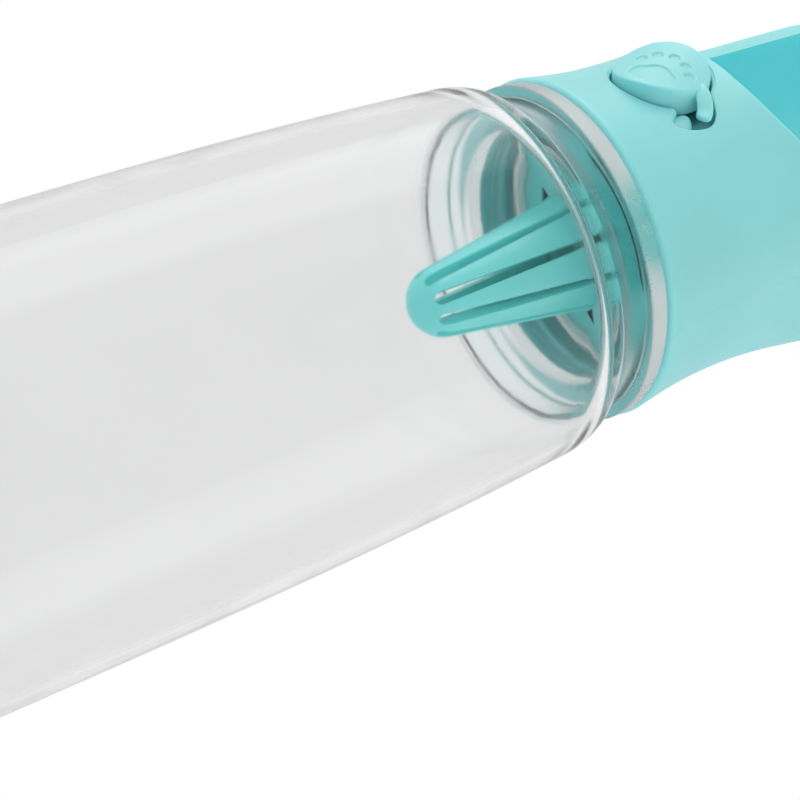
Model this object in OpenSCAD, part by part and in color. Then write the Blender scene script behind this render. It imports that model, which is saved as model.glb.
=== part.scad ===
// Travel water bottle for dogs: a clear bottle, a screw-on head with a drinking
// trough, a slotted basket under the head and a sprung button valve with a lock tab.
// The bottle stands upright on z = 0, the button faces -Y. Sizes are in millimetres.

/* [Bottle] */
// Largest radius of the bottle body
body_r = 36; // [32:0.5:42]
// Height of the plane where the head's rim sits
rim_z = 148; // [130:1:180]
// How much the body narrows up to the shoulder
body_taper = 2.5; // [1:0.1:5]
// Wall of the bottle body
body_wall = 2; // [1.6:0.1:3]
// Thickness of the bottle's floor
floor_t = 2.6; // [2:0.1:4]
// Radius of the rounded edge round the base
base_round = 6; // [3:0.5:9]
// Inner radius of the ring that the bottle stands on
stand_r = 22; // [16:0.5:26]
// Height of the hollow under the base
push_up = 2.4; // [1:0.1:4]
// Length of the rounded shoulder
shoulder_len = 7.8; // [6:0.1:10]
// Height of the clear groove between shoulder and flange
groove_h = 5.7; // [4:0.1:8]
// Radius at the top of the shoulder
shoulder_r = 30.2; // [29.6:0.1:30.8]
// Radius of the groove
groove_r = 28.9; // [28.4:0.1:29.4]
// Thickness of the clear flange
flange_t = 3.3; // [2:0.1:4]
// Radius of the clear flange
flange_r = 30.7; // [30:0.1:31.4]

/* [Neck and thread] */
// Bore radius of the neck
neck_bore = 23.5; // [22.8:0.1:23.8]
// Outer radius of the neck under its thread
neck_r = 25.2; // [24.9:0.1:25.4]
// Height of the mouth above the rim plane
neck_h = 7.2; // [7:0.1:8.5]
// Rise of the thread in one turn
thread_pitch = 3.5; // [3.3:0.1:4]
// Turns of the thread
thread_turns = 1.1; // [0.8:0.05:1.2]
// Height of a thread ridge above its wall
thread_d = 1.2; // [0.8:0.05:1.3]
// Width of a ridge at its wall
ridge_base = 1.9; // [1.4:0.05:2]
// Width of a ridge at its crest
ridge_crest = 1; // [0.6:0.05:1.1]
// Radial gap between a crest and the facing wall
thread_gap = 0.35; // [0.25:0.05:0.5]

/* [Head] */
// Radius of the head at its rim
head_rim_r = 31; // [30.4:0.1:32]
// Radius at the narrow waist
waist_r = 29.2; // [28.8:0.1:30]
// Largest radius of the trough
trough_r = 34.9; // [32:0.1:40]
// Length of the head above the rim plane
head_len = 115; // [100:1:130]
// Wall of the waist
head_wall = 2.3; // [1.8:0.1:2.4]
// Wall of the trough at its widest
trough_wall = 3.1; // [2.2:0.1:3.4]
// Height of the trough's widest point above the rim plane
widest_h = 84; // [74:1:88]
// Height of the trough's front edge above the rim plane
lip_front_h = 30.1; // [29.5:0.1:33]
// Where the side lips run, in front of the axis
lip_side_y = 7; // [2:0.2:12]
// Height of the trough floor's top above the rim plane
trough_floor_h = 28.2; // [28:0.1:28.9]
// Thickness of the trough floor
trough_floor_t = 2.2; // [1.8:0.1:2.4]
// Radius of the hanging hole near the tip
hang_r = 2.5; // [2:0.1:3.5]
// Distance of the hanging hole from the tip
hang_from_tip = 12; // [10:0.5:18]

/* [Seals] */
// Thickness of the flat gasket on the mouth
gasket_t = 1.7; // [1.4:0.1:1.9]
// Gap left above and below the gasket
gasket_gap = 0.05; // [0.03:0.01:0.08]
// Cord radius of the basket and bulkhead seals
seal_cord = 0.7; // [0.6:0.05:0.8]
// Cord radius of the stem's seals
stem_cord = 0.55; // [0.45:0.05:0.6]

/* [Bulkhead and valve] */
// Radius of the bulkhead disc
plate_r = 22.5; // [22:0.1:22.6]
// Thickness of the bulkhead disc
plate_t = 2; // [1.8:0.1:2.2]
// Height of the valve axis above the rim plane
valve_h = 19.3; // [19:0.1:19.8]
// Radius of the guide bore
guide_r = 3.3; // [3:0.05:3.5]
// Radius of the rear chamber
chamber_r = 5; // [4.8:0.1:5.4]
// Radius of the valve seat's opening
seat_r = 2.6; // [2.3:0.05:2.8]
// Wall round the valve bores
barrel_wall = 1.7; // [1.4:0.1:1.9]
// Length of the barrel in front of the seat
barrel_front = 20.5; // [19.5:0.1:20.8]
// Length of the chamber behind the seat
chamber_len = 10; // [9.5:0.1:12]
// Running clearance of the stem in its bore
stem_clear = 0.05; // [0.03:0.01:0.08]
// Radius of the stem's rod
rod_r = 1.3; // [1.2:0.05:1.5]
// Radius of the ports
port_r = 1.8; // [1.5:0.1:2]
// Inner radius of the two arc pockets under the disc
pocket_r = 13.4; // [12.6:0.1:14]
// Width of the arc pockets
pocket_w = 4.1; // [3:0.1:4.4]
// Angle that each arc pocket spans
pocket_arc = 110; // [60:1:130]
// Depth of the arc pockets
pocket_d = 1.2; // [0.6:0.1:1.2]

/* [Basket] */
// Length of the basket below the rim plane
basket_drop = 31; // [26:1:45]
// Radius of the rounded nose
nose_r = 6.3; // [5:0.1:7.5]
// Radius at the top of the basket
basket_r = 11; // [10.8:0.1:12]
// Wall of the basket
basket_wall = 1.5; // [1.2:0.1:1.8]
// Number of slots
slots = 9; // [6:1:10]
// Width of a slot at the nose
slot_w = 1.9; // [1.4:0.1:2.4]
// Width of a slot at its upper end
slot_w_top = 1.1; // [1:0.1:1.8]
// How far the basket's axis lies behind the bottle's
basket_y = 1.4; // [0:0.1:1.6]
// Length of the socket that the basket pushes onto
stub_len = 5.5; // [5:0.1:7]
// Radius of the socket
stub_r = 9.25; // [9:0.05:9.3]
// Gap of the basket round the socket
stub_clear = 0.05; // [0.03:0.01:0.08]

/* [Button] */
// Radius of the button disc
button_r = 8.4; // [8:0.1:8.7]
// How far the button stands out of the head
button_out = 2.6; // [2.2:0.1:3]
// Radius of the curve across the button's face
face_curve = 18; // [14:1:40]
// Turn of the face's ridge from upright while the tab is open
face_turn = 28; // [0:1:40]
// Travel of the button
travel = 2.5; // [2:0.1:2.6]
// Gap round the button
button_gap = 0.3; // [0.25:0.05:0.35]
// Reach of the lock tab from the button's centre
tab_reach = 12.8; // [12.5:0.1:13.2]
// Width of the lock tab
tab_w = 3.5; // [3.2:0.1:3.8]
// Thickness of the lock tab
tab_t = 1.8; // [1.4:0.1:2]
// How steeply the lock tab slants back to the disc
tab_slant = 35; // [25:1:40]
// Turn of the lock tab from open to locked
lock_turn = 17; // [14:0.5:18]
// Depth of the paw mark
paw_d = 0.35; // [0.2:0.05:0.6]
// Radius of the button's shaft
shaft_r = 2; // [1.8:0.05:2]

/* [Spring] */
// Wire diameter of the return spring
wire_d = 0.6; // [0.5:0.05:0.65]
// Curls of the return spring
curls = 6; // [4:0.5:6]

/* [Hidden] */
$fn = 96;

eps = 0.01;
cut = 60;                                   // reach of a cut that must pass right through
turn = 360;
aqua = [0.60, 0.87, 0.86];
clear_grey = [0.86, 0.88, 0.88, 0.45];
silicone = [0.93, 0.94, 0.93];
steel = [0.78, 0.79, 0.80];

// Bottle heights
seat_gap = 0.3;                             // flange to rim
flange_top = rim_z - seat_gap;
flange_low = flange_top - flange_t;
shoulder_z = flange_low - groove_h;
shoulder_low = shoulder_z - shoulder_len;
mouth_z = rim_z + neck_h;
taper_low = 18;                             // height where the body starts to narrow
taper_power = 3.1;
shoulder_in = body_r - body_taper;

// Thread radii
ridge_r = neck_r + thread_d;
skirt_bore = ridge_r + thread_gap;
first_turn = 1.9;                           // height of a ridge's start above the rim
embed = 0.4;

// Head heights
gasket_low = mouth_z + gasket_gap;
gasket_top = gasket_low + gasket_t;
ring_z = gasket_top + gasket_gap;
plate_gap = 0.1;
plate_top = ring_z + plate_t;
ledge_z = plate_top + eps;
ledge_t = 1.45;
ledge_r = plate_r - 1;
cavity_low = ledge_z + ledge_t;
floor_top = rim_z + trough_floor_h;
cavity_top = floor_top - trough_floor_t;
valve_z = rim_z + valve_h;
tip_z = rim_z + head_len;
widest_z = rim_z + widest_h;
dome_len = tip_z - widest_z;

// Hanging hole: its height, its place on the dome and the slope of the dome there
hang_z = tip_z - hang_from_tip;
hang_y = trough_r * sqrt(1 - pow((hang_z - widest_z) / dome_len, 2));
hang_a = atan2((hang_z - widest_z) / pow(dome_len, 2), hang_y / pow(trough_r, 2));

// Valve stations along Y, from the seat
seat_t = 1;
web = 6.8;
chamber_end = seat_t + chamber_len;
cap_t = 2.6;
land_r = guide_r - stem_clear;
land_end = -8;
barrel_r = guide_r + barrel_wall + 0.9;
rear_r = chamber_r + barrel_wall;
inlet_y = 4.2;
outlet_y = -4;
spigot_r = port_r + 1.2;
spigot_top = floor_top - 0.2;
stub_bore = 6.2;
stub_z = ring_z - stub_len;
socket_end = -16;
socket_clear = 0.05;
bead_h = 0.3;
bead_y = -17.1;
bead_w = 0.8;
stem_front = 0.2 - barrel_front;
seal_y1 = -13.8;
seal_y2 = -10.6;
groove_slack = 0.03;

// Button stations along Y
face_y = -(waist_r + button_out);
face_t = 1.8;
skirt_t = 1.4;
skirt_y = face_y + 4.6;
well_y = skirt_y + travel + 0.4;
well_wall = 1.4;
well_r = button_r + button_gap;
shaft_hole_r = shaft_r + 0.6;
tab_gap = 0.45;
box_x = 6.9;                                // block round the tab's recess
box_w = 9;
box_d = 11.6;
box_h = 12.8;
tab_end_x = tab_reach - tab_w / 2;          // centre of the tab's round end
tab_len = 5.2;                              // from that centre back to the root's centre
tab_drop = 0.3;                             // room under the tab when locked and pressed
swing_drop = 0.5;                           // more room, for the tab's turn
deep_lobe = 1;                              // extra depth of the open lobe

// Plug and screw
plug_y = seat_t + 0.05;
plug_t = 3;
plug_r = 4.2;
washer_r = 3;
washer_t = 0.5;
screw_r = 0.8;
screw_hole_r = 0.85;
screw_len = 7;
screw_head_r = 1.9;
screw_head_t = 1.3;

// Points on a cubic curve through four control points
function curve(a, b, c, d, n) = [for (i = [0:n]) let (t = i / n)
    pow(1 - t, 3) * a + 3 * t * pow(1 - t, 2) * b + 3 * t * t * (1 - t) * c + pow(t, 3) * d];

// Points on an ellipse round [x, y]
function arc(x, y, rx, ry, a0, a1, n) =
    [for (i = [0:n]) let (a = a0 + (a1 - a0) * i / n) [x + rx * cos(a), y + ry * sin(a)]];

// Radius of the bottle body at a height
function body_at(z) = z < taper_low ? body_r
    : body_r - body_taper * pow((z - taper_low) / (shoulder_low - taper_low), taper_power);

// Turns a shape built along Z so that it lies along Y at the valve axis
module along_valve(y) {
    translate([0, y, valve_z]) rotate([-90, 0, 0]) children();
}

// A ring of round cord
module cord_ring(mid_r, cord_r) {
    rotate_extrude() translate([mid_r, 0]) circle(r = cord_r, $fn = 24);
}

// A tube between two radii
module tube(outer, inner, h) {
    difference() {
        cylinder(r = outer, h = h);
        translate([0, 0, -1]) cylinder(r = inner, h = h + 2);
    }
}

// One screw ridge whose ends fade out. side is 1 on an outer wall and -1 in a bore.
module ridge(wall_r, side) {
    steps = 48;
    fade = 8;
    count = round(thread_turns * steps);
    pts = [for (i = [0:count]) let (
            a = turn * i / steps,
            z = rim_z + first_turn + thread_pitch * i / steps,
            f = max(0.08, min(1, i / fade, (count - i) / fade)),
            foot = wall_r - side * embed,
            top = wall_r + side * thread_d * f)
        each [
            [foot * cos(a), foot * sin(a), z - ridge_base / 2],
            [foot * cos(a), foot * sin(a), z + ridge_base / 2],
            [top * cos(a), top * sin(a), z + ridge_crest / 2],
            [top * cos(a), top * sin(a), z - ridge_crest / 2]]];
    walls = [for (i = [0:count - 1], j = [0:3]) let (
            a = 4 * i + j,
            b = 4 * i + (j + 1) % 4)
        each [[a, a + 4, b + 4], [a, b + 4, b]]];
    last = 4 * count;
    ends = [[0, 1, 2], [0, 2, 3], [last + 2, last + 1, last], [last + 3, last + 2, last]];
    faces = concat(walls, ends);
    flipped = [for (f = faces) [f[2], f[1], f[0]]];
    polyhedron(points = pts, faces = side > 0 ? faces : flipped);
}

module bottle() color(clear_grey) {
    inner_low = floor_t + push_up;
    outer = concat(
        [[0, push_up], [stand_r - 4, push_up], [stand_r, 0]],
        arc(body_r - base_round, base_round, base_round, base_round, -90, 0, 8),
        [for (i = [1:16]) let (z = taper_low + (shoulder_low - taper_low) * i / 16) [body_at(z), z]],
        arc(shoulder_r, shoulder_low, shoulder_in - shoulder_r, shoulder_len, 10, 90, 8),
        [[groove_r, shoulder_z - 0.2], [groove_r, flange_low],
         [flange_r - 0.5, flange_low], [flange_r, flange_low + 0.5],
         [flange_r, flange_top - 0.5], [flange_r - 0.5, flange_top],
         [neck_r, flange_top], [neck_r, mouth_z - 0.4], [neck_r - 0.4, mouth_z]]);
    inner = concat(
        [[neck_bore + 0.4, mouth_z], [neck_bore, mouth_z - 0.4], [neck_bore, flange_low + 0.6]],
        curve([neck_bore, flange_low + 0.6], [26, shoulder_z - 1.2],
              [shoulder_in - body_wall - 0.6, shoulder_low + 6.5],
              [shoulder_in - body_wall, shoulder_low], 8),
        [for (i = [15:-1:0]) let (z = taper_low + (shoulder_low - taper_low) * i / 16)
            [body_at(z) - body_wall, z]],
        arc(body_r - base_round, inner_low + base_round - body_wall,
            base_round - body_wall, base_round - body_wall, 0, -90, 6),
        [[0, inner_low]]);
    union() {
        rotate_extrude() polygon(concat(outer, inner));
        ridge(neck_r, 1);
    }
}

module neck_gasket() color(silicone) {
    translate([0, 0, gasket_low]) tube(neck_r, neck_bore - 0.6, gasket_t);
}

// Outer radius of the head against height, from rim to widest point
head_points = [[head_rim_r - 0.7, rim_z], [head_rim_r, rim_z + 0.7]];
head_outer = concat(
    head_points,
    curve([head_rim_r, rim_z + 0.7], [waist_r + 0.4, rim_z + 9],
          [waist_r, rim_z + 13], [waist_r, rim_z + 21], 8),
    curve([waist_r, rim_z + 21], [waist_r, rim_z + 39],
          [trough_r, rim_z + 50], [trough_r, widest_z], 14),
    arc(0, widest_z, trough_r, dome_len, 0, 90, 14));
bowl_r = waist_r - head_wall;
bowl_inner = concat(
    [[0, floor_top]],
    arc(bowl_r - 5.5, floor_top + 6, 5.5, 6, -90, 0, 6),
    curve([bowl_r, floor_top + 6], [bowl_r + 1.2, rim_z + 43],
          [trough_r - trough_wall, rim_z + 55], [trough_r - trough_wall, widest_z], 12),
    arc(0, widest_z, trough_r - trough_wall, dome_len - trough_wall, 0, 90, 14));

// What the open front takes away, seen from the side: x is Y and y is Z
module front_opening() {
    front_z = rim_z + lip_front_h;
    lip = concat(
        [[-cut, front_z], [-waist_r - 2, front_z]],
        curve([-waist_r + 0.2, front_z], [-25, front_z + 1.6],
              [-18.5, front_z + 6], [-14, front_z + 12.4], 8),
        curve([-14, front_z + 12.4], [-lip_side_y - 3, front_z + 18],
              [-lip_side_y - 0.9, front_z + 28], [-lip_side_y + 0.4, widest_z], 8),
        curve([-lip_side_y + 0.4, widest_z], [-lip_side_y + 1, widest_z + 12],
              [-lip_side_y + 6, tip_z - 6], [-lip_side_y + 12, tip_z + 2], 8),
        [[-cut, tip_z + 2]]);
    rotate([90, 0, 90]) linear_extrude(2 * cut, center = true) polygon(lip);
}

// Outline of the lock tab in X and Z from the button's centre, grown by g: a slanted
// bar with round ends, whose outer end lies straight out sideways
module tab_outline(g) {
    half = tab_w / 2 + g;
    translate([tab_end_x, 0]) rotate(180 - tab_slant) {
        circle(r = half, $fn = 48);
        translate([0, -half]) square([tab_len, 2 * half]);
        translate([tab_len, 0]) circle(r = half, $fn = 48);
    }
}

// The tab's side view, X against Y, from the button's face down to its tip
function tab_side(top, low) = concat(
    [[4, face_y + 0.8 + top], [7, face_y + 1 + top]],
    curve([7, face_y + 1 + top], [8.8, face_y + 1.3 + top],
          [9.4, face_y + 2.9 + top], [10.6, face_y + 3.3 + top], 5),
    curve([10.6, face_y + 3.3 + top], [11.8, face_y + 3.7 + top],
          [12.8, face_y + 4.7 + top], [tab_reach + 1, face_y + 6.2 + top], 5),
    [[tab_reach + 1, face_y + 6.2 + tab_t + low]],
    curve([tab_reach + 1, face_y + 6.2 + tab_t + low], [11.2, face_y + 4.2 + tab_t + low],
          [9.2, face_y + 2.6 + tab_t + low], [4, face_y + 2.4 + tab_t + low], 6));

// Room for the tab over its first last_step half turns: its outline grown by g, open
// to the front, down to drop below its underside
module tab_room(last_step, g, drop) {
    translate([0, 0, valve_z]) intersection() {
        rotate([90, 0, 0]) linear_extrude(cut)
            for (i = [0:last_step]) rotate(-lock_turn * i / 2) tab_outline(g);
        linear_extrude(4 * tab_reach, center = true) polygon(tab_side(-cut, drop));
    }
}

module head_shell() color(aqua) {
    difference() {
        union() {
            difference() {
                rotate_extrude() polygon(concat([[0, rim_z]], head_outer));
                // skirt over the bottle's thread
                translate([0, 0, rim_z - 1]) cylinder(r = skirt_bore, h = ring_z - rim_z + 1);
                translate([0, 0, rim_z - eps])
                    cylinder(r1 = skirt_bore + 0.8, r2 = skirt_bore, h = 0.8);
                // seat of the bulkhead and the ledge above it
                translate([0, 0, ring_z - 1]) cylinder(r = plate_r + plate_gap, h = plate_t + 1 + eps);
                translate([0, 0, plate_top]) cylinder(r = ledge_r, h = ledge_t + 1);
                // dry space round the valve
                translate([0, 0, cavity_low])
                    cylinder(r = waist_r - head_wall, h = cavity_top - cavity_low);
            }
            // half a turn on from the bottle's ridge, so that the two mesh
            rotate(180) ridge(skirt_bore, -1);
            // walls of the button well and the tab pocket
            intersection() {
                difference() {
                    union() {
                        along_valve(-waist_r)
                            cylinder(r = well_r + well_wall, h = waist_r + well_y + well_wall);
                        translate([box_x, -waist_r, valve_z - box_h / 2])
                            cube([box_w, box_d, box_h]);
                    }
                    translate([0, 0, ring_z - 1]) cylinder(r = plate_r + plate_gap, h = plate_t + 1 + eps);
                }
                translate([0, 0, ring_z]) cylinder(r = waist_r - 1, h = cavity_top - ring_z + 1);
            }
        }
        // inside of the trough
        rotate_extrude() polygon(bowl_inner);
        front_opening();
        // hole of the outlet
        translate([0, outlet_y, cavity_top - 1]) cylinder(r = spigot_r + 1.3, h = trough_floor_t + 2);
        // button well and shaft hole
        along_valve(-cut) cylinder(r = well_r, h = cut + well_y);
        along_valve(well_y - 1) cylinder(r = shaft_hole_r, h = well_wall + 2);
        // lobes of the tab's recess
        tab_room(2, tab_gap, travel + tab_drop + swing_drop);
        tab_room(0, tab_gap - 0.05, travel + tab_drop + swing_drop + deep_lobe);
        // hanging hole, square to the dome
        translate([0, hang_y, hang_z]) rotate([hang_a - 90, 0, 0])
            cylinder(r = hang_r, h = 4 * trough_wall, center = true);
    }
}

module valve_body() color(aqua) {
    difference() {
        union() {
            translate([0, 0, ring_z]) cylinder(r = plate_r, h = plate_t);
            translate([0, basket_y, stub_z]) cylinder(r = stub_r, h = stub_len + eps);
            along_valve(-barrel_front) cylinder(r = barrel_r, h = barrel_front + seat_t);
            along_valve(0) cylinder(r = rear_r, h = chamber_end + cap_t);
            // webs that carry the barrel
            for (y = [-13, inlet_y])
                translate([-web / 2, y - web / 2, plate_top - eps])
                    cube([web, web, valve_z - plate_top]);
            // spout up through the trough's floor
            translate([0, outlet_y, valve_z]) cylinder(r = spigot_r, h = spigot_top - valve_z);
        }
        // guide bore, seat, chamber
        along_valve(-barrel_front - 1) cylinder(r = guide_r, h = barrel_front + 1);
        along_valve(-1) cylinder(r = seat_r, h = seat_t + 2);
        along_valve(seat_t) cylinder(r = chamber_r, h = chamber_len + cap_t + 1);
        // socket and the two ports
        translate([0, basket_y, stub_z - 1]) cylinder(r = stub_bore, h = stub_len + 1);
        translate([0, inlet_y, stub_z]) cylinder(r = port_r, h = valve_z - stub_z);
        translate([0, outlet_y, valve_z]) cylinder(r = port_r, h = spigot_top - valve_z + 1);
        // groove for the basket's seal
        translate([0, basket_y, stub_z + 1.6])
            tube(stub_r + 1, stub_r - 2 * seal_cord - groove_slack, 2 * seal_cord + 0.1);
        // groove for the bulkhead's seal
        translate([0, 0, ring_z + 0.25])
            tube(plate_r + 1, plate_r - 2 * seal_cord - groove_slack + 0.05, 2 * seal_cord + 0.1);
        // two arc pockets in the lower face
        for (a = [75, 255]) rotate(a) translate([0, 0, ring_z - 1])
            rotate_extrude(angle = pocket_arc) translate([pocket_r, 0]) square([pocket_w, 1 + pocket_d]);
    }
}

module bulkhead_seal() color(silicone) {
    translate([0, 0, ring_z + 0.3 + seal_cord]) cord_ring(plate_r - seal_cord + 0.05, seal_cord);
}

module chamber_cap() color(aqua) {
    head_t = 1.2;
    along_valve(chamber_end) difference() {
        union() {
            cylinder(r = chamber_r, h = cap_t + eps);
            translate([0, 0, cap_t]) cylinder(r = rear_r, h = head_t);
        }
        // groove of its seal and a coin slot
        translate([0, 0, 0.5])
            tube(chamber_r + 1, chamber_r - 2 * stem_cord - groove_slack, 2 * stem_cord + 0.1);
        translate([-3.5, -0.6, cap_t + head_t - 0.7]) cube([7, 1.2, 1]);
    }
}

module chamber_cap_seal() color(silicone) {
    along_valve(chamber_end + 0.55 + stem_cord) cord_ring(chamber_r - stem_cord, stem_cord);
}

module outlet_grommet() color(silicone) {
    translate([0, outlet_y, cavity_top]) difference() {
        union() {
            cylinder(r = spigot_r + 1.3, h = trough_floor_t);
            translate([0, 0, trough_floor_t]) cylinder(r = spigot_r + 2.6, h = 0.8);
        }
        translate([0, 0, -1]) cylinder(r = spigot_r, h = trough_floor_t - 0.2 + 1);
        cylinder(r = port_r, h = 5);
    }
}

module filter_basket() color(aqua) {
    nose_z = rim_z - basket_drop + nose_r;
    top_z = ring_z - 0.2;
    socket_z = stub_z - 0.6;
    bore = stub_r + stub_clear;
    nose_end = -10;                         // angle where the nose meets the cone
    slot_start = -50;
    slot_low = nose_z - 2.6;
    slot_top = rim_z + 3.4;
    translate([0, basket_y, 0]) difference() {
        rotate_extrude() polygon(concat(
            arc(0, nose_z, nose_r, nose_r, -90, nose_end, 8),
            [[basket_r - 0.6, rim_z + 1.5], [basket_r, rim_z + 4], [basket_r, top_z], [0, top_z]]));
        rotate_extrude() polygon(concat(
            arc(0, nose_z, nose_r - basket_wall, nose_r - basket_wall, -90, nose_end, 8),
            [[basket_r - 0.6 - basket_wall, rim_z + 1.5], [bore - 0.9, socket_z], [0, socket_z]]));
        translate([0, 0, socket_z]) cylinder(r = bore, h = top_z - socket_z + 1);
        // slots, wider at the nose
        for (i = [0:slots - 1]) rotate(slot_start + turn * i / slots)
            translate([basket_wall + 1, 0, 0]) rotate([90, 0, 90]) linear_extrude(basket_r + 2)
                polygon(concat(
                    [[slot_w_top / 2, slot_top], [-slot_w_top / 2, slot_top]],
                    arc(0, slot_low, slot_w / 2, slot_w / 2, 180, 360, 8)));
    }
}

module basket_seal() color(silicone) {
    translate([0, basket_y, stub_z + 1.65 + seal_cord]) cord_ring(stub_r - seal_cord, seal_cord);
}

// A plain paw mark on the button's face, in X and Z from its centre: a pad and five toes
pad_x = 2;
pad_z = -3.4;
pad_turn = 22;
toe_r = 0.95;
toes = [[-3.9, -1.4], [-3, 1.3], [-0.6, 3.1], [2.4, 3.2], [5, 1.8]];

module paw_mark() {
    for (t = toes) translate(t) circle(r = toe_r, $fn = 24);
    translate([pad_x, pad_z]) rotate(pad_turn) {
        circle(r = 3, $fn = 32);
        for (s = [-1, 1]) translate([s * 2.2, -0.9]) circle(r = 2, $fn = 32);
    }
}

// Everything behind the button's curved face, whose ridge is turned from the head's axis
module under_face() {
    translate([0, 0, valve_z]) rotate([0, -face_turn, 0]) translate([0, face_y + face_curve, 0])
        cylinder(r = face_curve, h = 4 * button_r, center = true, $fn = 192);
}

module button_cap() color(aqua) {
    difference() {
        union() {
            intersection() {
                union() {
                    along_valve(face_y - 1) cylinder(r = button_r, h = skirt_y - face_y + 1);
                    // lock tab
                    translate([0, 0, valve_z]) intersection() {
                        rotate([90, 0, 0]) linear_extrude(cut) tab_outline(0);
                        linear_extrude(4 * tab_reach, center = true) polygon(tab_side(0, 0));
                    }
                }
                under_face();
            }
            // shaft that snaps into the stem
            along_valve(face_y + 1) cylinder(r = shaft_r, h = socket_end - 0.2 - face_y - 1);
            along_valve(bead_y - bead_w / 2) cylinder(r = shaft_r + bead_h, h = bead_w);
        }
        // hollow behind the face, round the shaft
        along_valve(face_y + face_t) tube(button_r - skirt_t, shaft_r, skirt_y - face_y);
        // paw mark pressed into the curved face
        intersection() {
            translate([0, skirt_y, valve_z]) rotate([90, 0, 0]) linear_extrude(cut) paw_mark();
            difference() {
                translate([-cut, -cut, valve_z - cut]) cube([2 * cut, 2 * cut, 2 * cut]);
                translate([0, paw_d, 0]) under_face();
            }
        }
    }
}

module valve_stem() color(aqua) {
    difference() {
        union() {
            along_valve(stem_front) cylinder(r = land_r, h = land_end - stem_front);
            along_valve(land_end - eps) cylinder(r = rod_r, h = plug_y - land_end + eps);
        }
        // socket of the button's shaft
        along_valve(stem_front - 1) cylinder(r = shaft_r + socket_clear, h = socket_end - stem_front + 1);
        along_valve(bead_y - bead_w / 2 - 0.1) cylinder(r = shaft_r + bead_h + 0.1, h = bead_w + 0.2);
        // grooves of the two seals
        for (y = [seal_y1, seal_y2]) along_valve(y - stem_cord - 0.05)
            tube(land_r + 1, land_r - 2 * stem_cord, 2 * stem_cord + 0.1);
        // hole of the plug's screw
        along_valve(plug_y + plug_t + washer_t - screw_len)
            cylinder(r = screw_hole_r, h = screw_len + 1);
    }
}

module front_stem_seal() color(silicone) {
    along_valve(seal_y1) cord_ring(land_r - stem_cord + 0.02, stem_cord - 0.01);
}

module rear_stem_seal() color(silicone) {
    along_valve(seal_y2) cord_ring(land_r - stem_cord + 0.02, stem_cord - 0.01);
}

module valve_plug() color(silicone) {
    along_valve(plug_y) difference() {
        cylinder(r1 = plug_r, r2 = plug_r - 0.6, h = plug_t);
        translate([0, 0, -1]) cylinder(r = screw_hole_r, h = plug_t + 2);
    }
}

module plug_washer() color(steel) {
    along_valve(plug_y + plug_t) tube(washer_r, screw_hole_r, washer_t);
}

module plug_screw() color(steel) {
    along_valve(plug_y + plug_t + washer_t) difference() {
        union() {
            translate([0, 0, 0.3 - screw_len]) cylinder(r = screw_r, h = screw_len - 0.3 + eps);
            cylinder(r1 = screw_head_r, r2 = screw_head_r - 0.4, h = screw_head_t);
        }
        for (a = [0, 90]) rotate(a) translate([-1.1, -0.2, screw_head_t - 0.7]) cube([2.2, 0.4, 1]);
    }
}

// Centre line of the spring: a closed curl at each end and an even rise between
spring_r = 2.35;
spring_low = land_end + wire_d / 2 + 0.05;
spring_high = -wire_d / 2 - 0.05;
rings = 8;
spring_rise = (spring_high - spring_low) / curls;
spring_path = [for (i = [0:curls * rings]) let (a = turn * i / rings)
    [spring_r * cos(a), spring_r * sin(a), spring_low + spring_rise * i / rings]];
spring_gap = min([for (i = [0:curls * rings - rings / 2], j = [i + rings / 2:curls * rings])
    norm(spring_path[i] - spring_path[j])]) - wire_d;
echo(spring_least_gap = spring_gap);

module return_spring() color(steel) {
    sides = 6;
    count = curls * rings;
    pts = [for (i = [0:count], k = [0:sides - 1]) let (
            a = turn * i / rings,
            b = turn * k / sides,
            out = spring_r + wire_d / 2 * cos(b))
        [out * cos(a), out * sin(a), spring_path[i][2] + wire_d / 2 * sin(b)]];
    walls = [for (i = [0:count - 1], k = [0:sides - 1]) let (
            p = sides * i + k,
            q = sides * i + (k + 1) % sides)
        each [[p, q, q + sides], [p, q + sides, p + sides]]];
    start = [for (k = [1:sides - 2]) [0, k + 1, k]];
    finish = [for (k = [1:sides - 2]) [sides * count, sides * count + k, sides * count + k + 1]];
    along_valve(0) polyhedron(points = pts, faces = concat(walls, start, finish));
}

bottle();
neck_gasket();
head_shell();
valve_body();
bulkhead_seal();
chamber_cap();
chamber_cap_seal();
outlet_grommet();
filter_basket();
basket_seal();
button_cap();
valve_stem();
front_stem_seal();
rear_stem_seal();
valve_plug();
plug_washer();
plug_screw();
return_spring();
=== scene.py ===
import math

import bpy
import numpy as np
from mathutils import Matrix, Vector


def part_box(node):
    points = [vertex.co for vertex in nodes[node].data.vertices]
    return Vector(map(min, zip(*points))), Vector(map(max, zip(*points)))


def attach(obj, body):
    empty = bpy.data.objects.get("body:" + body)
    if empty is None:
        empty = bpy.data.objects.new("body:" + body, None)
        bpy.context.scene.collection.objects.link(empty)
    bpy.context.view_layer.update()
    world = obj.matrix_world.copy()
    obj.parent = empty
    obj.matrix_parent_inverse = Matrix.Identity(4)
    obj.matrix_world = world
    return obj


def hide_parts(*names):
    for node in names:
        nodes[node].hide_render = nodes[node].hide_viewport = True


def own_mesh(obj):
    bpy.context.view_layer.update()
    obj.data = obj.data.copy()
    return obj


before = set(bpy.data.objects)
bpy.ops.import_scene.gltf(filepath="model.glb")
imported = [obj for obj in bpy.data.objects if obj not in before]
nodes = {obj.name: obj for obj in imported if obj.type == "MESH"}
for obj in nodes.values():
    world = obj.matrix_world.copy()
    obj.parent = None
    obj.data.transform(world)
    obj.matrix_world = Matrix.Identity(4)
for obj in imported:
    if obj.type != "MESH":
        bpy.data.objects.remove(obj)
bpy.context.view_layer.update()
mm = 0.001
print("frame loaded:", len(nodes), "nodes")


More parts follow.
